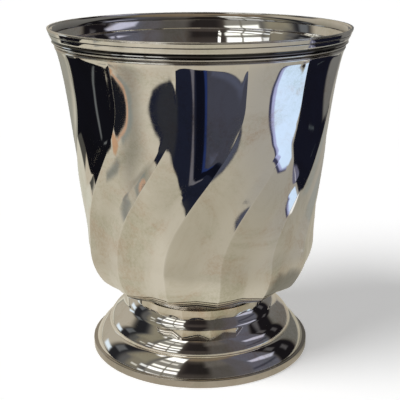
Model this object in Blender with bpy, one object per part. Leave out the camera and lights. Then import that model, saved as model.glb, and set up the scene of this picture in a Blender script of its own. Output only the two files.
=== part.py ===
"""A silver cup: a twist-fluted bowl on a stepped round foot.

The bowl is one raised sheet with fourteen flutes that run down from the rim, swing round the
waist and run on under the belly. A rolled strip and a thin wire are fixed under its lip. The
foot is a hollow shell that steps out three times and stands on an upright band. Two fillets of
solder join foot to bowl and foot to band. Nothing moves. The origin is the middle of the face
that the cup rests on, with +Z up. Lengths are metres, written as millimetres times MM.

Belly and foot are chains of arcs. An arc is (length in mm, first tilt, last tilt) in degrees,
and the tilt is that of the outward normal: 0 on an upright wall, 90 on a level top.
"""
import bmesh
import bpy
import numpy as np
from math import pi, radians

MM = 0.001

# Driving dimensions of the whole cup
HEIGHT = 90.0 * MM
MOUTH_RADIUS = 40.0 * MM
BASE_RADIUS = 30.7 * MM
SHEET = 0.7 * MM
CLEARANCE = 0.3 * MM
TURNED_SIDES = 56
SHARP_ANGLE = radians(25.0)
MERGE_DISTANCE = 0.0001 * MM

# Finishes: colour and roughness
SILVER = (0.86, 0.84, 0.80)
SOLDER = (0.78, 0.76, 0.72)
SHEET_ROUGHNESS = 0.05
WIRE_ROUGHNESS = 0.08
SOLDER_ROUGHNESS = 0.25

# Bowl: the side above the belly is an eased taper plus a flare that grows toward the rim, and a
# short collar that turns out just under the wire
SHOULDER_HEIGHT = 85.0 * MM
BELLY_RADIUS = 31.78 * MM
BELLY_HEIGHT = 31.75 * MM
TAPER = 0.091
TAPER_RUN = 5.0 * MM
FLARE_SLOPE = 0.203
FLARE_LENGTH = 8.0 * MM
COLLAR_SLOPE = 0.30
COLLAR_LENGTH = 0.55 * MM
BELLY_ARCS = (
    (10.30, 0, -36), (3.20, -36, -72), (9.80, -76, -65), (0.60, -65, -90), (4.80, -90, -90),
)
SIDE_STEPS = 14
TILT_STEP = 14.0

# Flutes: count, how deep they lie below the crests, and how they swing round the waist
FLUTES = 14
FLUTE_HEIGHTS = np.array([17.0, 31.0, 38.0, 50.0, 64.0, 78.0, 90.0]) * MM
FLUTE_DEPTHS = np.array([0.75, 0.95, 0.74, 0.36, 0.17, 0.11, 0.10]) * MM
VALLEY_HEIGHTS = np.array([30.0, 40.0, 50.0, 62.0, 76.0]) * MM
VALLEY_PLACES = np.array([0.56, 0.58, 0.70, 0.88, 0.95])
RISE_CURVE = 0.3
FLUTE_TOP_HEIGHT = 84.85 * MM
FLUTE_RUN_IN = 0.9 * MM
FLUTE_END_RADIUS = 21.0 * MM
FLUTE_END_RUN = 7.5 * MM
CREST_ANGLE = radians(-89.8)
TWIST_HALF_ANGLE = radians(16.9)
TWIST_LOW_HEIGHT = 31.4 * MM
TWIST_HIGH_HEIGHT = 74.7 * MM
POINTS_ACROSS_FLUTE = (0.0, 0.20, 0.40, 0.58, 0.78, 0.93)

# Rim: the lip turns out over the strip, and the wall behind the strip is set in
LIP_THICKNESS = 0.4 * MM
LIP_TURN = 0.5 * MM
LIP_EDGE = 0.16 * MM
LIP_EDGE_TURNS = np.radians([90.0, 45.0, 0.0])
WALL_TOP_RADIUS = 39.25 * MM
WALL_FOOT_RADIUS = 37.35 * MM
WALL_THICKNESS = 0.45 * MM
WALL_FOOT_HEIGHT = 85.2 * MM
INNER_WALL_HEIGHTS = np.array([86.1, 87.9, 89.5]) * MM
SHOULDER_ROWS = 3

# Strip under the lip: heights and tilts of its face; a flat reed, a groove and a hollowed reed
STRIP_HEIGHTS = np.array([89.30, 88.72, 88.58, 88.42, 87.62, 87.40, 87.20, 86.80, 86.46]) * MM
STRIP_TILTS = np.radians([22.0, 23.0, 62.0, -40.0, 21.0, 40.0, 11.0, 0.0, -12.0])
STRIP_TOP_RADIUS = 39.83 * MM

# Thin wire between the strip and the shoulder
WIRE_RADIUS = 0.25 * MM
WIRE_PLACE = (38.20 * MM, 85.87 * MM)
WIRE_SIDES = 6

# Foot shell: neck, ledge, bevel, first step, cove, second step, crease and the long lowest step
NECK_RADIUS = 16.6 * MM
NECK_INSIDE_OPENING = 0.4 * MM
FOOT_TOP = 16.55 * MM
FOOT_ARCS = (
    (0.30, 0, 88), (1.75, 88, 88), (0.25, 88, 54), (1.35, 54, 50), (0.25, 50, 42), (2.45, 42, 22),
    (1.38, 22, 47), (2.62, 47, 49), (2.62, 49, 28), (1.50, 28, 6), (0.30, 80, 80), (5.42, 54, 23),
)
BROAD_ARC = 1.0 * MM

# Band at the base, and the outlines of the two fillets of solder in shares of a fillet's leg
BAND_HEIGHT = 2.2 * MM
BAND_THICKNESS = 1.9 * MM
BAND_EDGE = 0.2 * MM
FILLET = 0.9 * MM
NECK_FILLET = ((0.0, 0.0), (0.0, -1.0), (-0.35, -0.35), (-1.0, 0.0))
BAND_FILLET = ((0.0, 0.0), (-1.0, 0.0), (-0.5, 0.25), (-0.35, 0.7))


def clear_objects():
    """Remove what the scene holds."""
    for item in list(bpy.data.objects):
        bpy.data.objects.remove(item, do_unlink=True)


def metal(name, colour, roughness):
    """A Principled metal of one colour."""
    material = bpy.data.materials.new(name)
    material.use_nodes = True
    shader = material.node_tree.nodes["Principled BSDF"]
    shader.inputs["Base Color"].default_value = (*colour, 1.0)
    shader.inputs["Metallic"].default_value = 1.0
    shader.inputs["Roughness"].default_value = roughness
    material.diffuse_color = (*colour, 1.0)
    return material


def ease(value):
    """Smooth step from 0 to 1, with the ends held level."""
    value = np.clip(value, 0.0, 1.0)
    return value * value * (3.0 - 2.0 * value)


def walk_arcs(start, arcs):
    """Points (radius, height), one after each step down the arcs, with the tilt of the step."""
    place, points, tilts, lengths = np.array(start), [], [], []
    for length, first, last in arcs:
        steps = 1 + int(abs(last - first) / TILT_STEP)
        for step in range(steps):
            tilt = radians(first + (last - first) * (step + 0.5) / steps)
            place = place + length * MM / steps * np.array([np.sin(tilt), -np.cos(tilt)])
            points.append(place)
            tilts.append(tilt)
            lengths.append(length * MM)
    return np.array(points), np.array(tilts), np.array(lengths)


def add_mesh_object(name, mesh_data, material):
    """Write a bmesh to a new object, shaded smooth with its sharp edges kept."""
    mesh = bpy.data.meshes.new(name)
    mesh_data.to_mesh(mesh)
    mesh_data.free()
    mesh.materials.append(material)
    mesh.shade_smooth()
    mesh.set_sharp_from_angle(angle=SHARP_ANGLE)
    piece = bpy.data.objects.new(name, mesh)
    bpy.context.scene.collection.objects.link(piece)
    return piece


def face_outwards(mesh_data):
    """Point every face of a closed mesh away from its metal."""
    bmesh.ops.recalc_face_normals(mesh_data, faces=mesh_data.faces[:])
    if mesh_data.calc_volume(signed=True) < 0.0:
        bmesh.ops.reverse_faces(mesh_data, faces=mesh_data.faces[:])


def turned(name, outline, material):
    """Spin a closed outline of (radius, height) points once round the axis."""
    mesh_data = bmesh.new()
    corners = [mesh_data.verts.new((r, 0.0, z)) for r, z in outline]
    edges = [mesh_data.edges.new((corners[i - 1], corners[i])) for i in range(len(corners))]
    bmesh.ops.spin(
        mesh_data, geom=corners + edges, cent=(0.0, 0.0, 0.0), axis=(0.0, 0.0, 1.0),
        angle=2.0 * pi, steps=TURNED_SIDES, use_merge=True,
    )
    bmesh.ops.remove_doubles(mesh_data, verts=mesh_data.verts[:], dist=MERGE_DISTANCE)
    face_outwards(mesh_data)
    return add_mesh_object(name, mesh_data, material)


def side_radius(height):
    """Belly radius, plus a taper that eases in over its run, plus the growing flare and collar."""
    rise = height - BELLY_HEIGHT
    t = np.clip(rise / TAPER_RUN, 0.0, 1.0)
    taper = TAPER * (TAPER_RUN * (t ** 3 - t ** 4 / 2) + np.maximum(rise - TAPER_RUN, 0.0))
    flare = FLARE_SLOPE * FLARE_LENGTH * np.exp((height - SHOULDER_HEIGHT) / FLARE_LENGTH)
    collar = COLLAR_SLOPE * COLLAR_LENGTH * np.exp((height - SHOULDER_HEIGHT) / COLLAR_LENGTH)
    return BELLY_RADIUS + taper + flare + collar


def bowl_crest_line():
    """Crest line of the flutes, from the shoulder down the side and round the belly."""
    height = np.linspace(SHOULDER_HEIGHT, BELLY_HEIGHT, SIDE_STEPS + 1)
    run_in = [FLUTE_TOP_HEIGHT, FLUTE_TOP_HEIGHT - FLUTE_RUN_IN]
    height = np.sort(np.concatenate([height, run_in]))[::-1]
    side = np.stack([side_radius(height), height], axis=1)
    below = walk_arcs(side[-1], BELLY_ARCS)[0]
    return np.concatenate([side, below])


def outward_normals(line):
    """Unit normals of a line of (radius, height) points that runs down the outside."""
    run = np.gradient(line, axis=0)
    normal = np.stack([-run[:, 1], run[:, 0]], axis=1)
    return normal / np.linalg.norm(normal, axis=1, keepdims=True)


def flute_depth(line):
    """How far the valleys lie below the crests, at each point of the crest line."""
    depth = np.interp(line[:, 1], FLUTE_HEIGHTS, FLUTE_DEPTHS)
    run_in = ease((FLUTE_TOP_HEIGHT - line[:, 1]) / FLUTE_RUN_IN)
    run_out = ease((line[:, 0] - FLUTE_END_RADIUS) / FLUTE_END_RUN)
    return depth * run_in * run_out


def crest_turn(height):
    """Angle of the first crest round the axis: it swings once through the twist."""
    rise = (height - TWIST_LOW_HEIGHT) / (TWIST_HIGH_HEIGHT - TWIST_LOW_HEIGHT)
    return CREST_ANGLE + TWIST_HALF_ANGLE * (2.0 * ease(rise) - 1.0)


def across_flute(place, valley):
    """Share of the depth from one crest (0) to the next (1): an even fall, then a curved rise."""
    left = (1.0 - place) / (1.0 - valley)
    return np.where(place < valley, place / valley, left * (1.0 + RISE_CURVE * (1.0 - left)))


def bowl_columns():
    """For each column round the bowl: its place across its flute, and the number of the flute."""
    places = np.tile(np.array(POINTS_ACROSS_FLUTE), FLUTES)
    return places, np.repeat(np.arange(FLUTES), len(POINTS_ACROSS_FLUTE))


def fluted_rows(line, sink):
    """Rings of points: the crest line, sunk along its normal by the flutes and by the sheet."""
    places, flute = bowl_columns()
    angle = crest_turn(line[:, 1])[:, None] + 2.0 * pi * (flute + places)[None, :] / FLUTES
    valley = np.interp(line[:, 1], VALLEY_HEIGHTS, VALLEY_PLACES)[:, None]
    depth = flute_depth(line)[:, None] * across_flute(places[None, :], valley) + sink
    normal = outward_normals(line)
    radius = line[:, 0][:, None] - depth * normal[:, 0][:, None]
    height = line[:, 1][:, None] - depth * normal[:, 1][:, None]
    return np.stack([radius * np.cos(angle), radius * np.sin(angle), height], axis=2)


def plain_rows(line):
    """Rings of points for the round rim, in step with the tops of the flutes."""
    places, flute = bowl_columns()
    turn = crest_turn(HEIGHT) + 2.0 * pi * (flute + places) / FLUTES
    angle = np.broadcast_to(turn, (len(line), len(turn)))
    radius = np.broadcast_to(line[:, 0][:, None], angle.shape)
    height = np.broadcast_to(line[:, 1][:, None], angle.shape)
    return np.stack([radius * np.cos(angle), radius * np.sin(angle), height], axis=2)


def wall_radius(height):
    """Outer radius of the straight wall that is set in behind the strip."""
    rise = (height - WALL_FOOT_HEIGHT) / (HEIGHT - LIP_THICKNESS - WALL_FOOT_HEIGHT)
    return WALL_FOOT_RADIUS + (WALL_TOP_RADIUS - WALL_FOOT_RADIUS) * rise


def rim_lines():
    """Outside of the rim: lip, rounded edge and wall. Inside: back up the wall to the lip."""
    edge = np.stack([
        MOUTH_RADIUS - LIP_EDGE * (1.0 - np.cos(LIP_EDGE_TURNS)),
        HEIGHT - LIP_EDGE * (1.0 - np.sin(LIP_EDGE_TURNS)),
    ], axis=1)
    underside = HEIGHT - LIP_THICKNESS
    lip_start = MOUTH_RADIUS - LIP_TURN
    outside = np.concatenate([
        [(lip_start, HEIGHT)], edge,
        [(MOUTH_RADIUS, underside), (WALL_TOP_RADIUS, underside), (WALL_FOOT_RADIUS, WALL_FOOT_HEIGHT)],
    ])
    wall = np.stack([wall_radius(INNER_WALL_HEIGHTS) - WALL_THICKNESS, INNER_WALL_HEIGHTS], axis=1)
    inside = np.concatenate([wall, [(lip_start - LIP_EDGE, HEIGHT - LIP_EDGE)]])
    return outside, inside


def make_bowl(material):
    """One sheet: out over the lip, down the outside, and back up the inside in half as many rows."""
    outer_rim, inner_rim = [plain_rows(line) for line in rim_lines()]
    crest = bowl_crest_line()
    outer = fluted_rows(crest, 0.0)
    inner_crest = np.concatenate([crest[SHOULDER_ROWS:SIDE_STEPS:2], crest[SIDE_STEPS + 1:]])
    inner = fluted_rows(inner_crest, SHEET)[::-1]
    rows = np.concatenate([outer_rim, outer, inner, inner_rim])
    bottom = len(outer_rim) + len(outer)

    mesh_data = bmesh.new()
    rings = [[mesh_data.verts.new(point) for point in row] for row in rows]
    count = len(rings[0])
    for i in range(len(rings)):
        if i == bottom:
            continue
        above, below = rings[i - 1], rings[i]
        for j in range(count):
            k = (j + 1) % count
            mesh_data.faces.new((above[j], above[k], below[k], below[j]))
    for ring in (rings[bottom - 1], rings[bottom]):
        height = sum(corner.co.z for corner in ring) / count
        middle = mesh_data.verts.new((0.0, 0.0, height))
        for j in range(count):
            mesh_data.faces.new((ring[j - 1], ring[j], middle))
    face_outwards(mesh_data)
    return add_mesh_object("bowl", mesh_data, material)


def make_rim_moulding(material):
    """Rolled strip: its face shrinks downward by the tangent of the tilt, and its back is plain."""
    slope = np.tan(STRIP_TILTS)
    shrink = 0.5 * (slope[1:] + slope[:-1]) * -np.diff(STRIP_HEIGHTS)
    radius = STRIP_TOP_RADIUS - np.concatenate([[0.0], np.cumsum(shrink)])
    ends = STRIP_HEIGHTS[[-1, 0]]
    outline = [*zip(radius, STRIP_HEIGHTS), *zip(wall_radius(ends) + CLEARANCE, ends)]
    return turned("rim_moulding", outline, material)


def make_rim_bead(material):
    """Thin round wire that closes the strip at the shoulder."""
    turn = np.arange(WIRE_SIDES) * 2.0 * pi / WIRE_SIDES
    outline = np.stack([
        WIRE_PLACE[0] + WIRE_RADIUS * np.cos(turn), WIRE_PLACE[1] + WIRE_RADIUS * np.sin(turn),
    ], axis=1)
    return turned("rim_bead", outline, material)


def shell_lines():
    """Outside of the foot shell, and its inside set in by the sheet along the broad arcs."""
    start = (NECK_RADIUS, FOOT_TOP)
    outer, tilts, lengths = walk_arcs(start, FOOT_ARCS)
    middle = 0.5 * (outer + np.concatenate([[start], outer[:-1]]))
    inner = middle - SHEET * np.stack([np.cos(tilts), np.sin(tilts)], axis=1)
    inner = inner[lengths > BROAD_ARC]
    outer = np.concatenate([[start], outer])
    inside = NECK_RADIUS - SHEET
    neck = [(inside, FOOT_TOP), (inside + NECK_INSIDE_OPENING, inner[0, 1])]
    inner = np.concatenate([neck, inner, [(inner[-1, 0], outer[-1, 1])]])
    return outer, inner


def make_foot_shell(material):
    """Spun shell between its outer and its inner line."""
    outer, inner = shell_lines()
    return turned("foot_shell", np.concatenate([outer, inner[::-1]]), material)


def make_neck_solder(material):
    """Fillet ring inside the foot, in the corner between its neck and the bottom of the bowl."""
    corner = np.array([NECK_RADIUS - SHEET - CLEARANCE, FOOT_TOP])
    return turned("neck_solder", corner + FILLET * np.array(NECK_FILLET), material)


def make_foot_band(material):
    """Upright strip with a flat foot, under the edge of the foot shell."""
    inside = BASE_RADIUS - BAND_THICKNESS
    outline = [
        (inside, 0.0), (BASE_RADIUS - BAND_EDGE, 0.0), (BASE_RADIUS, BAND_EDGE),
        (BASE_RADIUS, BAND_HEIGHT - BAND_EDGE), (BASE_RADIUS - BAND_EDGE, BAND_HEIGHT),
        (inside, BAND_HEIGHT),
    ]
    return turned("foot_band", outline, material)


def make_band_solder(material):
    """Fillet ring on the inside, in the corner between the shell's edge and the band."""
    corner = np.array([shell_lines()[1][-1, 0] - CLEARANCE, BAND_HEIGHT + CLEARANCE])
    return turned("band_solder", corner + FILLET * np.array(BAND_FILLET), material)


def build():
    """Make every piece of the cup."""
    clear_objects()
    polished = metal("polished_silver", SILVER, SHEET_ROUGHNESS)
    drawn_wire = metal("drawn_silver", SILVER, WIRE_ROUGHNESS)
    solder = metal("hard_solder", SOLDER, SOLDER_ROUGHNESS)
    make_bowl(polished)
    make_rim_moulding(drawn_wire)
    make_rim_bead(drawn_wire)
    make_foot_shell(polished)
    make_neck_solder(solder)
    make_foot_band(drawn_wire)
    make_band_solder(solder)
    for piece in bpy.data.objects:
        low = min(corner[2] for corner in piece.bound_box) / MM
        high = max(corner[2] for corner in piece.bound_box) / MM
        print(f"{piece.name}: {low:.2f} to {high:.2f} mm high, {len(piece.data.polygons)} faces")


build()
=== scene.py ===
# %% [markdown]
# # A silver cup with twisted flutes
# The cup is a raised silver bowl on a spun, stepped foot. A mirror finish has hardly any colour of
# its own: it shows what stands round it, bent by its shape. So this lesson has three parts. First
# the place: a camera, a pale floor, a lamp, and cards that only the silver sees. Then the pieces,
# each a formula evaluated on a numpy grid. Last the finishes, built from shader nodes.

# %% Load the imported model
from math import pi, radians

import bpy
import numpy as np
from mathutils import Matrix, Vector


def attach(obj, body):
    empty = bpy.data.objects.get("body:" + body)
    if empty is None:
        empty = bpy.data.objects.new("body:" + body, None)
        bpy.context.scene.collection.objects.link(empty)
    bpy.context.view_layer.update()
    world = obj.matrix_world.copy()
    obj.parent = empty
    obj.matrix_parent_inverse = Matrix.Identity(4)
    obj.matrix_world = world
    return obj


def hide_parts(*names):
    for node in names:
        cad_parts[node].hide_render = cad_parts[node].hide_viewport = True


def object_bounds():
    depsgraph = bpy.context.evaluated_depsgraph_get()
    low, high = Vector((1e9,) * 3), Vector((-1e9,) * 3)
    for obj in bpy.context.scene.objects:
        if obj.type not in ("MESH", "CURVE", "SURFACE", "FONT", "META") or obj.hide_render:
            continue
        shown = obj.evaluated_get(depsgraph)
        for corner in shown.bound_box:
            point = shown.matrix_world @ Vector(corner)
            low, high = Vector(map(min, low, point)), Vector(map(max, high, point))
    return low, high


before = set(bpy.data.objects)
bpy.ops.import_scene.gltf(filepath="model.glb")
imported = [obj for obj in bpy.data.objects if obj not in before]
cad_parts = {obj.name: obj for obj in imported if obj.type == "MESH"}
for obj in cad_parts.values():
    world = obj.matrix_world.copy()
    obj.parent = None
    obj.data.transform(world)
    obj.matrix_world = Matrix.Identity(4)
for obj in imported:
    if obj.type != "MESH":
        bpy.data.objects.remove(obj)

cad_low, cad_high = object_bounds()
MM = 0.001
print("nodes:", sorted(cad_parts))

# %% [markdown]
# ## Camera
# The photograph looks slightly down on the cup from close by. The place, pitch and focal length
# were worked out from the ellipses of mouth, shoulder and base. A close camera matters for silver,
# because each point of a curved mirror reflects a direction that depends on where the eye is.

# %% Camera
CAMERA_PLACE = (0.0, -234.5 * MM, 112.8 * MM)
CAMERA_PITCH = radians(16.84)
FOCAL_LENGTH_MM = 78.98
SENSOR_WIDTH_MM = 36.0


def make_camera():
    """A camera that looks along +Y and down by the pitch."""
    data = bpy.data.cameras.new("camera")
    data.lens = FOCAL_LENGTH_MM
    data.sensor_width = SENSOR_WIDTH_MM
    camera = bpy.data.objects.new("camera", data)
    camera.location = CAMERA_PLACE
    camera.rotation_euler = (pi / 2 - CAMERA_PITCH, 0.0, 0.0)
    bpy.context.scene.collection.objects.link(camera)
    bpy.context.scene.camera = camera
    return camera


camera = make_camera()
print("camera at", [round(v, 4) for v in camera.location])

# %% [markdown]
# ## Meshes from arrays
# Every shape here is a grid of points: rows run along a profile and columns run round the axis.
# A Python loop over a hundred thousand vertices would be slow, so the faces are worked out as
# arrays too, and foreach_set writes them. A row whose radius is zero is a pole, closed by a fan.

# %% Grid helpers


def write_mesh(name, points, corners, starts, uv=None, smooth=True):
    """A mesh object from points (n, 3), corner indices and the first corner of each face."""
    mesh = bpy.data.meshes.new(name)
    mesh.vertices.add(len(points))
    mesh.vertices.foreach_set("co", np.asarray(points, np.float32).ravel())
    mesh.loops.add(len(corners))
    mesh.loops.foreach_set("vertex_index", np.asarray(corners, np.int32))
    mesh.polygons.add(len(starts))
    mesh.polygons.foreach_set("loop_start", np.asarray(starts, np.int32))
    mesh.update(calc_edges=True)
    mesh.polygons.foreach_set("use_smooth", np.full(len(starts), smooth))
    if uv is not None:
        layer = mesh.uv_layers.new(name="profile")
        layer.data.foreach_set("uv", np.asarray(uv, np.float32).ravel())
    mesh.validate()
    mesh.update()
    piece = bpy.data.objects.new(name, mesh)
    bpy.context.scene.collection.objects.link(piece)
    return piece


def wrapped_grid(name, rows, ring=False, poles=(None, None)):
    """Quads over rows (n, m, 3) that close round the axis, facing out where rows run down.

    With ring the last row also joins the first. A pole is a point that closes the first or the
    last row with triangles. The uv map holds the turn (0 to 1) and the length along the profile.
    """
    count, columns = rows.shape[:2]
    step = np.linalg.norm(np.diff(rows[:, 0], axis=0), axis=1)
    along = np.concatenate([[0.0], np.cumsum(step)])
    points = rows.reshape(-1, 3)
    i = np.arange(count if ring else count - 1)[:, None]
    j = np.arange(columns)[None, :]
    below = (i + 1) % count
    beside = (j + 1) % columns
    quads = np.stack([
        i * columns + j, below * columns + j, below * columns + beside, i * columns + beside,
    ], axis=-1).reshape(-1, 4)
    turn, next_turn = np.broadcast_arrays(j / columns, (j + 1) / columns)
    shape = (len(i), columns)
    high = np.broadcast_to(along[i], shape)
    low = np.broadcast_to(np.append(along, along[-1])[i + 1], shape)
    turn, next_turn = np.broadcast_to(turn, shape), np.broadcast_to(next_turn, shape)
    uv = np.stack([turn, high, turn, low, next_turn, low, next_turn, high], axis=-1)
    corners, starts, uvs = [quads.ravel()], [np.arange(len(quads)) * 4], [uv.reshape(-1, 2)]
    used = len(quads) * 4
    for end, pole in enumerate(poles):
        if pole is None:
            continue
        row = (count - 1 if end else 0) * columns
        first, second = row + np.arange(columns), row + (np.arange(columns) + 1) % columns
        tip = np.full(columns, len(points))
        points = np.concatenate([points, [pole]])
        fan = np.stack([first, tip, second] if end else [tip, first, second], axis=-1)
        corners.append(fan.ravel())
        starts.append(used + np.arange(columns) * 3)
        place = np.stack([np.arange(columns) / columns, np.full(columns, along[-1 if end else 0])])
        uvs.append(np.repeat(place.T, 3, axis=0))
        used += columns * 3
    return write_mesh(
        name, points, np.concatenate(corners), np.concatenate(starts), np.concatenate(uvs),
    )


def tint_points(piece, colour):
    """Keep a colour for each point of the grid that multiplies the metal's colour there; on the bowl,
    strip, wire and band it is painted shade.
    """
    count = len(piece.data.vertices)
    values = np.ones((count, 4), np.float32)
    flat = np.asarray(colour, np.float32).reshape(-1, 3)
    values[:len(flat), :3] = flat
    layer = piece.data.color_attributes.new("tint", "FLOAT_COLOR", "POINT")
    layer.data.foreach_set("color", values.ravel())


def revolve(line, columns):
    """Rows of points: each (radius, height) of a line, carried once round the axis."""
    angle = np.arange(columns) * 2.0 * pi / columns
    radius, height = line[:, 0][:, None], line[:, 1][:, None]
    return np.stack([
        radius * np.cos(angle), radius * np.sin(angle), np.broadcast_to(height, (len(line), columns)),
    ], axis=-1)


def turned(name, line, columns, tint):
    """A closed outline carried round the axis, with one tint or a tint for each of its points."""
    rows = revolve(line, columns)
    piece = wrapped_grid(name, rows, ring=True)
    tint_points(piece, np.broadcast_to(np.reshape(tint, (-1, 1, 3)), rows.shape))
    return piece


def grey_tints(heights, known_heights, known_greys):
    """A grey tint for each height, read off between the known ones, which run downward."""
    grey = np.interp(-heights, -np.asarray(known_heights), known_greys)
    return np.repeat(grey[:, None], 3, axis=1)


def ease(value):
    """Smooth step: 3 t^2 - 2 t^3, held level outside 0 to 1."""
    value = np.clip(value, 0.0, 1.0)
    return value * value * (3.0 - 2.0 * value)


print("helpers ready: grids, turned outlines and tints")

# %% [markdown]
# ## Floor, backdrop and lamp
# The floor is one plain pale sheet. A broad sun from the left and a little in front gives it the
# soft shadow at the right of the foot. A part of the floor's white is its own faint glow, so that
# the shadow stays as light as in the photograph. Past the floor the world is white. The silver
# doesn't see this floor: the table sheet, two steps further down, stands in for it.

# %% Floor, world and key light
FLOOR_SIZE = 6.0
FLOOR_COLOUR = (0.95, 0.95, 0.95, 1.0)
FLOOR_ROUGHNESS = 0.9
FLOOR_GLOW = 0.38
FILL_STRENGTH = 0.14
KEY_STRENGTH = 2.1
KEY_SOFTNESS = radians(34.0)
KEY_HEIGHT = radians(51.0)
KEY_SIDE = radians(-64.0)


def seen_directly(nodes, links):
    """Light Path mask: 1 for camera, glossy and transmission rays, 0 for diffuse ones."""
    path = nodes.new("ShaderNodeLightPath")
    last = path.outputs["Is Camera Ray"]
    for name in ("Is Glossy Ray", "Is Transmission Ray"):
        either = nodes.new("ShaderNodeMath")
        either.operation = "MAXIMUM"
        links.new(last, either.inputs[0])
        links.new(path.outputs[name], either.inputs[1])
        last = either.outputs[0]
    return last


def make_floor():
    """A flat pale square under the cup."""
    half = FLOOR_SIZE / 2
    corners = [(-half, -half, 0.0), (half, -half, 0.0), (half, half, 0.0), (-half, half, 0.0)]
    floor = write_mesh("floor", corners, [0, 1, 2, 3], [0], smooth=False)
    material = bpy.data.materials.new("floor_paper")
    material.use_nodes = True
    nodes, links = material.node_tree.nodes, material.node_tree.links
    shader = nodes["Principled BSDF"]
    shader.inputs["Base Color"].default_value = FLOOR_COLOUR
    shader.inputs["Roughness"].default_value = FLOOR_ROUGHNESS
    shader.inputs["Specular IOR Level"].default_value = 0.0
    shader.inputs["Emission Color"].default_value = (1.0, 1.0, 1.0, 1.0)
    share = nodes.new("ShaderNodeMath")
    share.operation = "MULTIPLY"
    share.inputs[1].default_value = FLOOR_GLOW
    links.new(seen_directly(nodes, links), share.inputs[0])
    links.new(share.outputs[0], shader.inputs["Emission Strength"])
    floor.data.materials.append(material)
    floor.visible_glossy = False
    return floor


def make_world():
    """White to the camera and in reflections, a dimmer fill for the floor."""
    world = bpy.data.worlds.new("backdrop")
    world.use_nodes = True
    nodes, links = world.node_tree.nodes, world.node_tree.links
    strength = nodes.new("ShaderNodeMapRange")
    strength.inputs["To Min"].default_value = FILL_STRENGTH
    strength.inputs["To Max"].default_value = 1.0
    links.new(seen_directly(nodes, links), strength.inputs["Value"])
    background = nodes["Background"]
    background.inputs["Color"].default_value = (1.0, 1.0, 1.0, 1.0)
    links.new(strength.outputs["Result"], background.inputs["Strength"])
    bpy.context.scene.world = world


def make_key_light():
    """A broad sun, from its height above the floor and its side (0 is the camera's, + right)."""
    data = bpy.data.lights.new("key", "SUN")
    data.energy = KEY_STRENGTH
    data.angle = KEY_SOFTNESS
    key = bpy.data.objects.new("key", data)
    key.rotation_euler = (pi / 2 - KEY_HEIGHT, 0.0, KEY_SIDE)
    key.visible_glossy = False
    bpy.context.scene.collection.objects.link(key)
    return key


floor = make_floor()
make_world()
key = make_key_light()
bpy.context.scene.view_settings.view_transform = "Standard"
print("floor, world and key light made")

# %% [markdown]
# ## Cards that the silver sees
# To picture silver well, a tent is built round it first, and then cards are placed in the tent.
# Here one sheet lies on the table round the cup and one dome stands over it. Only reflections see
# them, so they light nothing else. Each has a ground tone and cards: a card is a polygon in one
# flat tone, and its mask eases from 0 to 1 across the signed distance to the polygon's edge. A
# tone is given as the silver should show it, so it is divided by the silver's own colour.

# %% Soft cards
SILVER = (0.95, 0.93, 0.90)


def light_for(shown):
    """Light that silver shows as this sRGB colour (0 to 255): decoded, then over silver."""
    value = np.asarray(shown, float) / 255.0
    linear = np.where(value > 0.04045, ((value + 0.055) / 1.055) ** 2.4, value / 12.92)
    return linear / np.array(SILVER)


def depth_inside(x, y, outline):
    """Distance to the polygon's nearest edge, above zero inside it and below zero outside."""
    nearest = np.full(x.shape, np.inf)
    inside = np.zeros(x.shape, bool)
    for (ax, ay), (bx, by) in zip(outline, outline[1:] + outline[:1]):
        run = (bx - ax) ** 2 + (by - ay) ** 2
        share = np.clip(((x - ax) * (bx - ax) + (y - ay) * (by - ay)) / run, 0.0, 1.0)
        nearest = np.minimum(nearest, np.hypot(x - ax - share * (bx - ax), y - ay - share * (by - ay)))
        if ay != by:
            crossing = ax + (y - ay) * (bx - ax) / (by - ay)
            inside ^= ((ay > y) != (by > y)) & (x < crossing)
    return np.where(inside, nearest, -nearest)


def painted(x, y, ground, cards):
    """Ground tone with the cards laid on in order, each (tone, softness, outline)."""
    colour = np.broadcast_to(light_for(ground), (*x.shape, 3)).copy()
    for shown, softness, outline in cards:
        mask = ease(0.5 + depth_inside(x, y, outline) / softness)[..., None]
        colour += (light_for(shown) - colour) * mask
    return colour


def reflected_sheet(name, points, colour):
    """A glowing sheet over a grid (n, m, 3), coloured at its points, that only mirrors see."""
    count, columns = points.shape[:2]
    i, j = np.arange(count - 1)[:, None], np.arange(columns - 1)[None, :]
    corner = i * columns + j
    quads = np.stack([corner, corner + 1, corner + columns + 1, corner + columns], axis=-1)
    sheet = write_mesh(
        name, points.reshape(-1, 3), quads.ravel(), np.arange(quads.size // 4) * 4, smooth=False,
    )
    layer = sheet.data.color_attributes.new("glow", "FLOAT_COLOR", "POINT")
    solid = np.concatenate([colour, np.ones((*colour.shape[:2], 1))], axis=-1)
    layer.data.foreach_set("color", solid.astype(np.float32).ravel())
    material = bpy.data.materials.new(name)
    material.use_nodes = True
    nodes, links = material.node_tree.nodes, material.node_tree.links
    nodes.remove(nodes["Principled BSDF"])
    source = nodes.new("ShaderNodeAttribute")
    source.attribute_name = "glow"
    light = nodes.new("ShaderNodeEmission")
    links.new(source.outputs["Color"], light.inputs["Color"])
    links.new(light.outputs[0], nodes["Material Output"].inputs["Surface"])
    sheet.data.materials.append(material)
    sheet.visible_camera = False
    sheet.visible_diffuse = False
    sheet.visible_shadow = False
    sheet.visible_transmission = False
    return sheet


# %% [markdown]
# ## The table's cards
# Outlines are in millimetres on the table: x to the right, y away from the camera. Dark cards in
# front and at both sides give the dark flames on the upper wall, and the flutes bend their lower
# ends to points. A line beside a flame is a card of its own, a few millimetres wide. A bluish white
# card at the right front lights the panel there. The ground is warmer at the left and greyer at
# the right.

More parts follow.
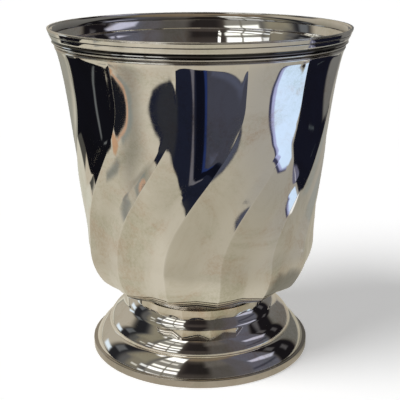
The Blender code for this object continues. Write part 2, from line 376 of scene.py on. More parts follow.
# %% Table sheet
TABLE_NEAR = 280.0
TABLE_FAR = 640.0
TABLE_CROWDING = 7
TABLE_POINTS = 601
TABLE_LIFT = 0.02 * MM
TABLE_GROUND = (176, 168, 150)
TABLE_CARDS = (
    # the ground's own shades: warm at the left, grey at the right, pale close by
    ((194, 186, 168), 160, [(-900, -900), (-40, -900), (-60, -60), (-30, 900), (-900, 900)]),
    ((158, 153, 143), 110, [(60, -900), (900, -900), (900, 900), (40, 900), (90, 0)]),
    ((150, 144, 130), 50, [(-190, -130), (-150, -60), (-110, -66), (-112, -112), (-150, -140)]),
    ((200, 192, 174), 44, [(-90, -96), (20, -60), (40, 20), (-40, 40), (-84, -20)]),
    ((128, 124, 113), 16, [(32, 24), (52, 12), (66, -8), (48, -14), (26, -10), (22, 10)]),
    # left: pale wall, two dark cards, their grey edges and a brown line between them
    ((206, 202, 186), 24, [(-160, 100), (-52, 60), (-30, 200), (-200, 190)]),
    ((150, 148, 136), 90, [(-900, 190), (-60, 200), (-60, 900), (-900, 900)]),
    ((140, 139, 132), 10, [(-153, -16), (-143, -14), (-139, -48), (-146, -60), (-155, -54)]),
    ((188, 150, 118), 5, [
        (-188, -50), (-178, -46), (-166, -46), (-160, -52), (-164, -64), (-172, -64), (-182, -56),
    ]),
    ((132, 135, 128), 9, [
        (-168, -76), (-163, -90), (-161, -104), (-163, -114), (-151, -114), (-152, -104), (-156, -90),
        (-159, -78),
    ]),
    ((24, 25, 30), 2, [
        (-300, -120), (-197, -66), (-186, -58), (-176, -61), (-172, -68), (-171, -78), (-168, -88),
        (-165, -97), (-168, -110), (-240, -170),
    ]),
    ((190, 152, 124), 2, [
        (-172, -66), (-170, -78), (-167, -88), (-165, -96), (-165, -103), (-168, -112), (-165, -113),
        (-161.5, -104), (-161.5, -95), (-163.5, -86), (-167, -76), (-169, -64),
    ]),
    ((74, 73, 68), 7, [
        (-170, 158), (-163, 130), (-155, 112), (-146, 98), (-140, 90), (-240, 60), (-260, 160),
    ]),
    ((16, 16, 21), 2, [
        (-176, 150), (-192, 118), (-178, 88), (-152, 64), (-147, 56), (-156, 44), (-166, 24), (-172, 2),
        (-176, -12), (-174, -30), (-175, -42), (-190, -46), (-197, -55), (-330, -120), (-360, 150),
    ]),
    ((96, 98, 98), 5, [(-224, 12), (-203, 2), (-190, -4), (-191, -8), (-206, -4), (-226, 5)]),
    # front: one long dark card with a grey line, a blue line and a bluish top edge
    ((27, 30, 44), 2, [
        (-16, -121), (-9, -129), (0, -133), (20, -136), (40, -137.5), (50, -137.5), (60, -139.5),
        (72, -140.5), (84, -142), (100, -148), (94, -162), (80, -188), (74, -204), (52, -222),
        (30, -260), (14, -330), (-900, -330), (-500, -185), (-190, -165), (-145, -141), (-125, -140),
        (-114, -143), (-100, -144), (-82, -146.5), (-64, -150), (-57, -148), (-50, -139),
        (-38, -131.5), (-30, -121), (-22, -118),
    ]),
    ((44, 45, 50), 10, [
        (-130, -144), (-100, -152), (-62, -151), (-54, -142), (-50, -170), (-56, -330), (-300, -330),
    ]),
    ((14, 16, 27), 3, [(-7, -132), (9, -133), (16, -178), (18, -330), (-2, -330)]),
    ((100, 98, 104), 2.5, [(-15, -126), (-8, -130), (-10, -160), (-11, -178), (-14, -178), (-15, -160)]),
    ((34, 48, 92), 3, [(7, -133), (13, -134), (20, -180), (15, -180)]),
    ((63, 64, 74), 3, [
        (13, -135), (40, -137.5), (60, -139.5), (84, -142), (100, -148), (94, -162), (80, -188),
        (74, -204), (52, -222), (30, -260), (22, -330), (20, -180),
    ]),
    ((76, 79, 94), 8, [(22, -138), (40, -139), (60, -140), (92, -145), (90, -152), (24, -150)]),
    # right: bluish white card with a dark edge, then a dark card and a grey strip behind
    ((56, 56, 80), 2.5, [
        (140, -52), (147, -70), (156, -90), (158, -106), (168, -120), (300, -260), (330, -60),
        (200, -20), (150, -30),
    ]),
    ((164, 168, 206), 4, [
        (145, -48), (152, -70), (160, -86), (163, -100), (176, -116), (310, -250), (330, -60),
        (200, -20), (152, -30),
    ]),
    ((208, 229, 254), 3, [
        (149, -42), (158, -24), (168, -17), (184, -26), (192, -20), (202, -14), (212, -18),
        (330, -40), (330, -240), (182, -112), (170, -94), (163, -76), (154, -60),
    ]),
    ((20, 21, 32), 2, [
        (136, 2), (152, -4), (166, -7), (184, -18), (201, -10), (222, -1), (300, -1), (380, 60),
        (380, 150), (300, 250), (180, 250), (174, 200), (166, 150), (158, 112), (148, 78), (136, 40),
    ]),
    ((104, 104, 124), 4, [(134, 0), (152, -6), (160, -6), (159, 8), (152, 18), (144, 22), (136, 20)]),
    ((190, 190, 204), 1.5, [(138, 10), (148, 4), (156, -2), (156, 0), (148, 7), (138, 12)]),
    ((110, 108, 104), 26, [(190, 168), (380, 110), (420, 420), (196, 420)]),
    ((70, 76, 80), 3, [(202, 88), (205, 86), (211, 52), (208, 50)]),
    ((150, 150, 143), 10, [
        (128, 36), (139, 56), (146, 80), (152, 100), (158, 120), (166, 158), (170, 206), (150, 220),
        (120, 60),
    ]),
    ((252, 252, 252), 2, [(112, -2), (118, 0), (132, 18), (134, 24), (124, 16), (114, 6)]),
)


def table_places():
    """Places along one axis, a n + b n^7: about 1 mm apart in the middle, wide at the ends."""
    share = np.linspace(-1.0, 1.0, TABLE_POINTS)
    return TABLE_NEAR * share + TABLE_FAR * share ** TABLE_CROWDING


def make_table_sheet():
    """A square grid just over the floor, painted with the table's cards."""
    x, y = np.meshgrid(table_places(), table_places())
    points = np.stack([x * MM, y * MM, np.full(x.shape, TABLE_LIFT)], axis=-1)
    return reflected_sheet("table_sheet", points, painted(x, y, TABLE_GROUND, TABLE_CARDS))


table_sheet = make_table_sheet()
print("table sheet:", len(table_sheet.data.polygons), "faces")

# %% [markdown]
# ## The dome's cards
# Here outlines are in degrees: first the side (0 faces the camera, + right), then the height. The
# foot, the rim and the inside of the mouth see the dome. Plain walls stand all round under a warm
# ceiling, rows of bright panes stand left of the camera and a lavender card right of it. A tone
# above 255 is brighter than the picture's white.

# %% Dome sheet
DOME_RADIUS = 0.95
DOME_LOWEST = -8.0
DOME_SIDES = 541
DOME_HEIGHTS = 148
DOME_GROUND = (84, 78, 68)


def block(left, right, low, high):
    """Outline of a card between two sides and two heights."""
    return [(left, low), (right, low), (right, high), (left, high)]


DOME_CARDS = (
    # walls: cream behind at the left, grey at the right, dark ones at both sides
    ((172, 164, 148), 14, block(-200, -114, -20, 66)),
    ((108, 106, 102), 14, block(121, 200, -20, 66)),
    ((36, 36, 39), 12, block(-113, -90, -20, 62)),
    ((88, 87, 86), 12, block(-94, -58, -20, 66)),
    ((134, 128, 110), 12, block(-90, -64, 30, 62)),
    ((124, 118, 103), 10, block(-83, -67, 8, 34)),
    ((132, 129, 121), 5, block(-59, -24, -20, 76)),
    ((66, 60, 56), 10, block(-24, 14, -20, 66)),
    ((38, 34, 33), 12, block(-20, 13, 26, 58)),
    ((82, 78, 74), 12, block(12, 40, -20, 66)),
    ((98, 93, 88), 12, block(8, 42, 48, 66)),
    ((88, 85, 88), 12, block(38, 60, -20, 66)),
    ((92, 92, 102), 10, block(57, 92, -20, 66)),
    ((24, 22, 25), 6, block(92, 121, -20, 60)),
    # the ceiling over it all
    ((122, 108, 90), 8, block(-200, -66, 66, 100)),
    ((122, 108, 90), 8, block(-24, 200, 66, 100)),
    # a tall window left of the camera: rows of bright panes and a thin upright bar
    ((300, 300, 292), 4, block(-57, -26, 58, 69)),
    ((226, 224, 214), 3, block(-56, -30, 48, 52)),
    ((280, 280, 270), 3, block(-57, -24, 33, 38)),
    ((300, 300, 296), 3, block(-58, -25, 22, 28)),
    ((290, 290, 286), 3, block(-57, -27, 5, 11)),
    ((118, 114, 104), 1.5, block(-41, -39, 0, 60)),
    # small patches round the room, bright and grey
    ((236, 238, 236), 3, block(-68, -60, 22, 27)),
    ((236, 238, 236), 3, block(-67, -60, 7, 12)),
    ((270, 270, 266), 3, block(-80, -68, 59, 66)),
    ((206, 203, 192), 2.5, block(-78, -70, 15, 19)),
    ((224, 236, 244), 5, block(-124, -112, 3, 12)),
    ((96, 98, 100), 5, block(-110, -100, 20, 34)),
    ((190, 190, 208), 4, [(62, 42), (80, 39), (95, 29), (88, 25), (74, 32), (64, 36)]),
    ((62, 62, 72), 4, block(58, 90, 16, 21)),
    ((84, 82, 84), 4, block(96, 104, 34, 44)),
    ((80, 78, 80), 4, block(106, 112, 14, 26)),
)


def make_dome_sheet():
    """Half a sphere and a little more, from a grid of sides and heights, painted."""
    sides = np.linspace(-180.0, 180.0, DOME_SIDES)
    side, height = np.meshgrid(sides, np.linspace(DOME_LOWEST, 90.0, DOME_HEIGHTS))
    turn, rise = np.radians(side), np.radians(height)
    points = DOME_RADIUS * np.stack([
        np.cos(rise) * np.sin(turn), -np.cos(rise) * np.cos(turn), np.sin(rise),
    ], axis=-1)
    return reflected_sheet("dome_sheet", points, painted(side, height, DOME_GROUND, DOME_CARDS))


dome_sheet = make_dome_sheet()
print("dome sheet:", len(dome_sheet.data.polygons), "faces")

# %% [markdown]
# ## Bowl
# The real bowl is raised from one sheet, and its flutes are chased in afterwards. The grid follows
# that order. The plain side is a straight taper that eases out of the upright belly, plus a flare
# that grows toward the rim, plus a short collar that turns out just under the wire. Belly and
# underside are a chain of arcs. The line is cut into even steps, so reflections run smoothly.

# %% Bowl: side, belly and underside
HEIGHT = cad_high.z
BOX_MARGIN = 0.01 * MM
MOUTH_RADIUS = min(cad_high.x, -cad_low.x, cad_high.y, -cad_low.y) - BOX_MARGIN
SHOULDER_HEIGHT = 85.0 * MM
BELLY_RADIUS = 31.78 * MM
BELLY_HEIGHT = 31.75 * MM
TAPER = 0.091
TAPER_RUN = 5.0 * MM
FLARE_SLOPE = 0.203
FLARE_LENGTH = 8.0 * MM
COLLAR_SLOPE = 0.30
COLLAR_LENGTH = 0.55 * MM
BELLY_ARCS = (
    (10.30, 0, -36), (3.20, -36, -72), (9.80, -76, -65), (0.60, -65, -90), (4.80, -90, -90),
)
SHEET = 0.7 * MM
SIDE_SAMPLES = 400
BELLY_SAMPLES = 100
OUTSIDE_STEPS = 172
INSIDE_STEPS = 58


def side_radius(height):
    """Belly radius, plus a taper whose slope eases in over its run, a growing flare and a collar."""
    rise = height - BELLY_HEIGHT
    t = np.clip(rise / TAPER_RUN, 0.0, 1.0)
    taper = TAPER * (TAPER_RUN * (t ** 3 - t ** 4 / 2) + np.maximum(rise - TAPER_RUN, 0.0))
    flare = FLARE_SLOPE * FLARE_LENGTH * np.exp((height - SHOULDER_HEIGHT) / FLARE_LENGTH)
    collar = COLLAR_SLOPE * COLLAR_LENGTH * np.exp((height - SHOULDER_HEIGHT) / COLLAR_LENGTH)
    return BELLY_RADIUS + taper + flare + collar


def walk_arcs(start, arcs, steps):
    """Follow arcs of (length in mm, first tilt, last tilt) down from a point.

    Tilt 0 is an upright wall, 90 a level top and -90 a level underside. A step of length s at
    tilt a moves out by s sin a and down by s cos a. Gives (radius, height, tilt) of each step.
    """
    length = np.concatenate([np.full(steps, run / steps) for run, _, _ in arcs]) * MM
    share = (np.arange(steps) + 0.5) / steps
    tilt = np.radians(np.concatenate([first + (last - first) * share for _, first, last in arcs]))
    out, down = np.cumsum(length * np.sin(tilt)), np.cumsum(length * np.cos(tilt))
    return np.stack([start[0] + out, start[1] - down, tilt], axis=1)


def evenly(line, steps):
    """The same line with points an even length apart."""
    length = np.concatenate([[0.0], np.cumsum(np.linalg.norm(np.diff(line, axis=0), axis=1))])
    place = np.linspace(0.0, length[-1], steps + 1)
    return np.stack([np.interp(place, length, value) for value in line.T], axis=1)


def crest_line(steps):
    """The crests of the flutes from shoulder to underside, as (radius, height) points."""
    height = np.linspace(SHOULDER_HEIGHT, BELLY_HEIGHT, SIDE_SAMPLES)
    side = np.stack([side_radius(height), height], axis=1)
    below = walk_arcs(side[-1], BELLY_ARCS, BELLY_SAMPLES)
    return evenly(np.concatenate([side, below[:, :2]]), steps)


crest = crest_line(OUTSIDE_STEPS)
print("crest line from radius", round(crest[0, 0] / MM, 2), "mm to", round(crest[-1, 0] / MM, 2), "mm")

# %% [markdown]
# ## Flutes
# A flute is a shallow hollow between two crests. The wall sinks along its own normal, by a depth
# that changes with height, times a section that falls evenly from one crest and rises in a curve
# to the next. All flutes swing round once at the waist. Modelling one flute and copying it would
# leave a seam at each crest, so all of them are one formula over the whole grid. Its columns are
# crowded at the crests, because a mirror shows every flat there.

# %% Bowl: flutes
FLUTES = 14
FLUTE_HEIGHTS = np.array([17.0, 31.0, 38.0, 50.0, 64.0, 78.0, 90.0]) * MM
FLUTE_DEPTHS = np.array([0.75, 0.95, 0.74, 0.36, 0.17, 0.11, 0.10]) * MM
VALLEY_HEIGHTS = np.array([30.0, 40.0, 50.0, 62.0, 76.0]) * MM
VALLEY_PLACES = np.array([0.56, 0.58, 0.70, 0.88, 0.95])
RISE_CURVE = 0.3
FLUTE_TOP_HEIGHT = 84.85 * MM
FLUTE_RUN_IN = 0.9 * MM
FLUTE_END_RADIUS = 21.0 * MM
FLUTE_END_RUN = 7.5 * MM
CREST_ANGLE = radians(-89.8)
TWIST_HALF_ANGLE = radians(16.9)
TWIST_LOW_HEIGHT = 31.4 * MM
TWIST_HIGH_HEIGHT = 74.7 * MM
COLUMNS_PER_FLUTE = 26
CROWDING = 0.86


def flute_places():
    """Places from crest to crest (0 to 1), crowded at the crests: t - c sin(2 pi t) / 2 pi."""
    t = np.arange(COLUMNS_PER_FLUTE) / COLUMNS_PER_FLUTE
    return t - CROWDING * np.sin(2.0 * pi * t) / (2.0 * pi)


def outward_normals(line):
    """Unit normals of a (radius, height) line that runs down the outside."""
    run = np.gradient(line, axis=0)
    normal = np.stack([-run[:, 1], run[:, 0]], axis=1)
    return normal / np.linalg.norm(normal, axis=1, keepdims=True)


def flute_depth(line):
    """Depth of the valleys along the line, eased in under the rim and out under the belly."""
    depth = np.interp(line[:, 1], FLUTE_HEIGHTS, FLUTE_DEPTHS)
    run_in = ease((FLUTE_TOP_HEIGHT - line[:, 1]) / FLUTE_RUN_IN)
    run_out = ease((line[:, 0] - FLUTE_END_RADIUS) / FLUTE_END_RUN)
    return depth * run_in * run_out


def flute_section(place, valley):
    """Share of the depth across a flute: an even fall to the valley, then t (1 + c (1 - t)).

    There t is what is left of the rise. It is steepest at the next crest, which stays crisp.
    """
    left = (1.0 - place) / (1.0 - valley)
    return np.where(place < valley, place / valley, left * (1.0 + RISE_CURVE * (1.0 - left)))


def crest_turn(height):
    """Angle of the first crest: it swings once through the twist between two heights."""
    rise = (height - TWIST_LOW_HEIGHT) / (TWIST_HIGH_HEIGHT - TWIST_LOW_HEIGHT)
    return CREST_ANGLE + TWIST_HALF_ANGLE * (2.0 * ease(rise) - 1.0)


def fluted_rows(line, sink):
    """Rows of points: the line sunk along its normal by depth times section, and by the sheet."""
    place = np.tile(flute_places(), FLUTES)[None, :]
    flute = np.repeat(np.arange(FLUTES), COLUMNS_PER_FLUTE)[None, :]
    angle = crest_turn(line[:, 1])[:, None] + 2.0 * pi * (flute + place) / FLUTES
    valley = np.interp(line[:, 1], VALLEY_HEIGHTS, VALLEY_PLACES)[:, None]
    sunk = flute_depth(line)[:, None] * flute_section(place, valley) + sink
    normal = outward_normals(line)
    radius = line[:, 0][:, None] - sunk * normal[:, 0][:, None]
    height = line[:, 1][:, None] - sunk * normal[:, 1][:, None]
    return np.stack([radius * np.cos(angle), radius * np.sin(angle), height], axis=-1)


def round_rows(line):
    """Rows of points for the round rim, with the columns of the flutes' tops."""
    place = np.tile(flute_places(), FLUTES)
    flute = np.repeat(np.arange(FLUTES), COLUMNS_PER_FLUTE)
    angle = crest_turn(np.array([HEIGHT]))[0] + 2.0 * pi * (flute + place) / FLUTES
    radius, height = line[:, 0][:, None], line[:, 1][:, None]
    return np.stack([
        radius * np.cos(angle), radius * np.sin(angle), np.broadcast_to(height, (len(line), len(angle))),
    ], axis=-1)


print("columns round the bowl:", FLUTES * COLUMNS_PER_FLUTE)

# %% [markdown]
# ## Rim, and the painted shade on the flutes
# The lip turns out over the strip, and the wall behind the strip is set in. Shade is painted into
# the outside: a veil beside each crest that fades across, leaving a thin painted highlight on the
# crest itself, and a nearly black shade in the seam under the lip. A texture would have to be
# fitted to the flutes, so the tint is kept at the points of the grid, where the same formula
# that sinks the wall also says where the crests are.

# %% Bowl: rim
LIP_THICKNESS = 0.4 * MM
LIP_WIDTH = 0.45 * MM
LIP_EDGE = 0.13 * MM
LIP_POINTS = 13
LIP_INNER_POINTS = 5
WALL_TOP_RADIUS = 39.62 * MM
WALL_FOOT_RADIUS = 37.60 * MM
WALL_FOOT_RISE = 0.5 * MM
SEAM_RISE = 0.15 * MM
INNER_FOOT_RADIUS = 37.50 * MM
INNER_FOOT_RISE = 0.4 * MM
INNER_MOUTH_INSET = 0.62 * MM
INNER_MOUTH_DROP = 0.25 * MM
INNER_FLARE = 0.25


def lip_line():
    """From inside the mouth, over a lip of two small arcs, to the foot of the wall behind it."""
    turn = np.linspace(pi, -pi / 2, LIP_POINTS)
    out, up = LIP_EDGE * np.cos(turn), HEIGHT - LIP_EDGE + LIP_EDGE * np.sin(turn)
    is_inner = np.arange(LIP_POINTS) < LIP_INNER_POINTS
    middle = MOUTH_RADIUS - np.where(is_inner, LIP_WIDTH, LIP_EDGE)
    under = np.array([
        (WALL_TOP_RADIUS, HEIGHT - LIP_THICKNESS), (WALL_FOOT_RADIUS, SHOULDER_HEIGHT + WALL_FOOT_RISE),
        (WALL_FOOT_RADIUS, SHOULDER_HEIGHT + SEAM_RISE),
    ])
    return np.concatenate([np.stack([middle + out, up], axis=1), under])


def inner_rim_line():
    """Up the inside from the shoulder's crease: a blend of t and t^2, so the flare grows."""
    t = np.linspace(0.0, 1.0, LIP_POINTS)
    foot = np.array([INNER_FOOT_RADIUS, SHOULDER_HEIGHT + INNER_FOOT_RISE])
    head = np.array([MOUTH_RADIUS - INNER_MOUTH_INSET, HEIGHT - INNER_MOUTH_DROP])
    flare = (1.0 - INNER_FLARE) * t + INNER_FLARE * t ** 2
    return foot + (head - foot) * np.stack([flare, t], axis=1)


print("rim:", len(inner_rim_line()) + len(lip_line()), "rows")

# %% Bowl: veil and mesh
# colour of the shade painted across each flute; the crests left out of it read as a painted highlight
PAINTED_FLUTE_SHADE = np.array([0.82, 0.81, 0.76])
VEIL_TOP = 70.0 * MM
VEIL_RUN = 26.0 * MM
VEIL_START = 0.035
VEIL_FADE = 0.85
VEIL_FADE_FROM = 0.40
VEIL_FADE_RUN = 0.50
VEIL_END = 0.03
# nearly black painted shade for the two seam rows behind the wire
PAINTED_SEAM_SHADE = np.array([0.10, 0.09, 0.08])
SEAM_ROWS = 2


def painted_flute_shade_rows(line):
    """Tint of the outside: painted shade that starts sharply at each crest and fades across.

    Its share is a quick ease at the start of a flute, less most of an ease over its second
    half, and it gives out upward. The crests are left out of it, which paints a thin highlight there.
    """
    place = np.tile(flute_places(), FLUTES)[None, :]
    fade = 1.0 - VEIL_FADE * ease((place - VEIL_FADE_FROM) / VEIL_FADE_RUN)
    share = ease(place / VEIL_START) * fade * ease((1.0 - place) / VEIL_END)
    share = share * ease((VEIL_TOP - line[:, 1]) / VEIL_RUN)[:, None]
    return 1.0 - share[..., None] * (1.0 - PAINTED_FLUTE_SHADE)


def make_bowl():
    """One closed sheet: up the inside, over the lip, down the outside and under."""
    inner = fluted_rows(crest_line(INSIDE_STEPS), SHEET)[::-1]
    outer = fluted_rows(crest, 0.0)
    rim, lip = round_rows(inner_rim_line()), round_rows(lip_line())
    rows = np.concatenate([inner, rim, lip, outer])
    inside = (0.0, 0.0, float(inner[0, :, 2].mean()))
    underneath = (0.0, 0.0, float(outer[-1, :, 2].mean()))
    piece = wrapped_grid("bowl_raised", rows, poles=(inside, underneath))
    tint = np.ones(rows.shape)
    # painted shade across the flutes, with a painted highlight left on each crest
    tint[-len(outer):] = painted_flute_shade_rows(crest)
    # painted shade in the seam under the lip
    tint[-len(outer) - SEAM_ROWS:-len(outer)] = PAINTED_SEAM_SHADE
    tint_points(piece, tint)
    return piece


bowl = make_bowl()
print("bowl:", len(bowl.data.polygons), "faces")

# %% [markdown]
# ## Strip and wire under the lip
# On the real cup a rolled strip is soldered on under the lip: a flat reed, a fine groove, a full
# reed whose underside is hollowed, and below it a thin wire. A hollow shows the room upside down,
# which is why the dark band there runs under a light one. The profile is drawn by its slope:
# each stretch has a height and a tilt, and the radius follows by adding up. The points in the
# grooves, and in the corner above the wire, carry a painted shade that is nearly black.

# %% Strip and wire
STRIP_HEIGHTS = MM * np.array([
    89.56, 88.72, 88.66, 88.50, 88.44, 87.62, 87.46, 87.34, 87.20, 86.70, 86.46, 86.38,
])
STRIP_TILTS = np.radians([22.0, 24.0, 62.0, -40.0, 21.0, 25.0, 40.0, 50.0, 11.0, 0.0, -12.0, -45.0])
STRIP_TOP_RADIUS = 39.94 * MM
STRIP_BACK_RADII = (38.0 * MM, 38.9 * MM)
STRIP_SAMPLES = 161
GROOVE_HEIGHTS = MM * np.array([88.72, 88.66, 88.52, 88.46, 87.32, 87.22, 86.68, 86.60, 86.46, 86.42])
# greys of the painted shade at the heights above, nearly black at the groove bottoms
GROOVE_PAINTED_SHADE = (1.0, 0.10, 0.10, 1.0, 1.0, 0.03, 0.04, 0.85, 0.85, 0.02)
WIRE_RADIUS = 0.27 * MM
WIRE_PLACE = (38.10 * MM, 85.86 * MM)
WIRE_POINTS = 24
WIRE_SHADE_HEIGHTS = MM * np.array([86.02, 85.94])
WIRE_SHADE_GREYS = (0.05, 1.0)
RING_COLUMNS = 320


def strip_face():
    """Outer face of the strip: the radius shrinks by the tangent of the tilt, added up."""
    height = np.linspace(STRIP_HEIGHTS[0], STRIP_HEIGHTS[-1], STRIP_SAMPLES)
    tilt = np.interp(-height, -STRIP_HEIGHTS, STRIP_TILTS)
    slope = np.tan(tilt)
    step = 0.5 * (slope[1:] + slope[:-1]) * -np.diff(height)
    radius = STRIP_TOP_RADIUS - np.concatenate([[0.0], np.cumsum(step)])
    return np.stack([radius, height], axis=1)


def make_strip():
    """Ring of the strip's face and a plain back."""
    face = strip_face()
    back = np.stack([STRIP_BACK_RADII, face[[-1, 0], 1]], axis=1)
    line = np.concatenate([face, back])
    # the tints paint nearly black shade into the grooves
    return turned("rim_strip", line, RING_COLUMNS, grey_tints(line[:, 1], GROOVE_HEIGHTS, GROOVE_PAINTED_SHADE))


def make_wire():
    """Round wire: a small circle carried round the axis, dark in the corner above it."""
    turn = -np.arange(WIRE_POINTS) * 2.0 * pi / WIRE_POINTS
    line = np.array(WIRE_PLACE) + WIRE_RADIUS * np.stack([np.cos(turn), np.sin(turn)], axis=1)
    shade = grey_tints(line[:, 1], WIRE_SHADE_HEIGHTS, WIRE_SHADE_GREYS)
    return turned("rim_wire", line, RING_COLUMNS, shade)


strip = make_strip()
wire = make_wire()
print("strip foot radius", round(strip_face()[-1, 0] / MM, 2), "mm")

# %% [markdown]
# ## Foot
# The real foot is a disc spun over a former, so its outline is what matters. It is a chain of arcs
# again: a neck, a ledge with a bevelled edge, a first step, a cove, a second step, a crease and a
# long last step. The inside follows, set in by the sheet along the normals. The shell stands on an
# upright band, and fillets of solder lie in the two corners that only show from below.

# %% Foot shell, band and solder
NECK_RADIUS = 16.6 * MM
FOOT_TOP = 16.86 * MM
FOOT_ARCS = (
    (0.29, 0, 0), (0.30, 0, 88), (1.75, 88, 88), (0.25, 88, 54), (1.35, 54, 50), (0.25, 50, 42),
    (2.45, 42, 22), (1.38, 22, 47), (2.62, 47, 49), (2.62, 49, 28), (1.50, 28, 6), (0.30, 80, 80),
    (5.64, 54, 22), (0.35, 22, -30),
)
FOOT_SAMPLES = 12
INSIDE_EVERY = 4
THIN_STEP = 0.5
BASE_RADIUS = 30.7 * MM
BAND_HEIGHT = 2.2 * MM
BAND_THICKNESS = 1.9 * MM
BAND_EDGE = 0.2 * MM
BAND_EDGE_SHARE = 0.3
FILLET = 0.9 * MM
NECK_INSIDE = NECK_RADIUS - SHEET
SHELL_INSIDE = 29.0 * MM
BAND_GAP = 0.02 * MM
SOLDER_COLUMNS = 192
NECK_FILLET_SHARE = 0.35
BAND_FILLET_SHARE = 0.4
SHELL_TINT = (0.99, 0.98, 0.97)
# painted shade: the whole band darkened to about half
BAND_PAINTED_SHADE = (0.55, 0.52, 0.49)
NO_TINT = (1.0, 1.0, 1.0)


def make_foot_shell():
    """The outer line by its arcs, and an inner line set in by the sheet along the normals."""
    start = (NECK_RADIUS, FOOT_TOP)
    radius, height, tilt = walk_arcs(start, FOOT_ARCS, FOOT_SAMPLES).T
    broad = np.repeat([run > THIN_STEP for run, _, _ in FOOT_ARCS], FOOT_SAMPLES)
    inner = np.stack([radius - SHEET * np.cos(tilt), height - SHEET * np.sin(tilt)], axis=1)
    inner = inner[broad][::INSIDE_EVERY]
    outer = np.concatenate([[start], np.stack([radius, height], axis=1)])
    line = np.concatenate([outer, [(inner[-1, 0], outer[-1, 1])], inner[::-1], [(NECK_INSIDE, FOOT_TOP)]])
    return turned("foot_spun", line, RING_COLUMNS, SHELL_TINT)


def make_foot_band():
    """Upright strip with eased edges and a flat foot."""
    inside, eased = BASE_RADIUS - BAND_THICKNESS, BAND_EDGE_SHARE * BAND_EDGE
    line = np.array([
        (inside, BAND_HEIGHT), (BASE_RADIUS - BAND_EDGE, BAND_HEIGHT),
        (BASE_RADIUS - eased, BAND_HEIGHT - eased), (BASE_RADIUS, BAND_HEIGHT - BAND_EDGE),
        (BASE_RADIUS, BAND_EDGE), (BASE_RADIUS - eased, eased), (BASE_RADIUS - BAND_EDGE, 0.0),
        (inside, 0.0),
    ])
    # the band's tint is painted shade
    return turned("foot_ring", line, RING_COLUMNS, BAND_PAINTED_SHADE)


foot = make_foot_shell()
band = make_foot_band()
neck_solder = turned("solder_at_neck", np.array([
    (NECK_INSIDE, FOOT_TOP), (NECK_INSIDE, FOOT_TOP - FILLET),
    (NECK_INSIDE - NECK_FILLET_SHARE * FILLET, FOOT_TOP - NECK_FILLET_SHARE * FILLET),
    (NECK_INSIDE - FILLET, FOOT_TOP),
]), SOLDER_COLUMNS, NO_TINT)
band_solder = turned("solder_at_band", np.array([
    (SHELL_INSIDE, BAND_HEIGHT + FILLET), (SHELL_INSIDE, BAND_HEIGHT + BAND_GAP),
    (SHELL_INSIDE - FILLET, BAND_HEIGHT + BAND_GAP),
    (SHELL_INSIDE - BAND_FILLET_SHARE * FILLET, BAND_HEIGHT + BAND_FILLET_SHARE * FILLET),
]), SOLDER_COLUMNS, NO_TINT)
print("foot:", len(foot.data.polygons), "faces")

# %% [markdown]
# ## Finishes
# Silver is nearly colourless metal. What makes it real is a thin film of tarnish in clouds, faint
# polishing lines, and a surface that the hammer left slightly uneven. All three finishes of the cup
# have the first two, so these are shader node groups, built once and placed in each material with
# its own values. A group puts out only a colour, a mask or a height. The shader stays outside.

# %% Shared effects


def new_group(name, inputs, outputs):
    """A shader node group with float, colour or vector sockets, given as (name, kind, value)."""
    kinds = {"value": "NodeSocketFloat", "colour": "NodeSocketColor", "vector": "NodeSocketVector"}
    group = bpy.data.node_groups.new(name, "ShaderNodeTree")
    for label, kind, value in inputs:
        socket = group.interface.new_socket(label, in_out="INPUT", socket_type=kinds[kind])
        if value is not None:
            socket.default_value = value
    for label, kind in outputs:
        group.interface.new_socket(label, in_out="OUTPUT", socket_type=kinds[kind])
    return group, group.nodes.new("NodeGroupInput"), group.nodes.new("NodeGroupOutput")


def noise(nodes, links, vector, scale, detail, roughness, distortion):
    """A noise texture over a vector, with its scale as a number or a socket."""
    texture = nodes.new("ShaderNodeTexNoise")
    texture.inputs["Detail"].default_value = detail
    texture.inputs["Roughness"].default_value = roughness
    texture.inputs["Distortion"].default_value = distortion
    links.new(vector, texture.inputs["Vector"])
    if isinstance(scale, float):
        texture.inputs["Scale"].default_value = scale
    else:
        links.new(scale, texture.inputs["Scale"])
    return texture.outputs["Fac"]


def spread(nodes, links, value, low, high, to_low=0.0, to_high=1.0):
    """Map a value smoothly from one range to another."""
    node = nodes.new("ShaderNodeMapRange")
    node.interpolation_type = "SMOOTHSTEP"
    for label, number in (("From Min", low), ("From Max", high), ("To Min", to_low), ("To Max", to_high)):
        node.inputs[label].default_value = number
    links.new(value, node.inputs["Value"])
    return node.outputs["Result"]


def multiplied(nodes, links, first, second):
    """Product of two value sockets."""
    node = nodes.new("ShaderNodeMath")
    node.operation = "MULTIPLY"
    links.new(first, node.inputs[0])
    links.new(second, node.inputs[1])
    return node.outputs[0]


def mixed(nodes, links, factor, first, second, blend="MIX"):
    """Mix two colour sockets by a factor socket."""
    node = nodes.new("ShaderNodeMix")
    node.data_type = "RGBA"
    node.blend_type = blend
    links.new(factor, node.inputs["Factor"])
    links.new(first, node.inputs["A"])
    links.new(second, node.inputs["B"])
    return node.outputs["Result"]


HUE_SCALE = 120.0
FRAY_SCALE = 1500.0


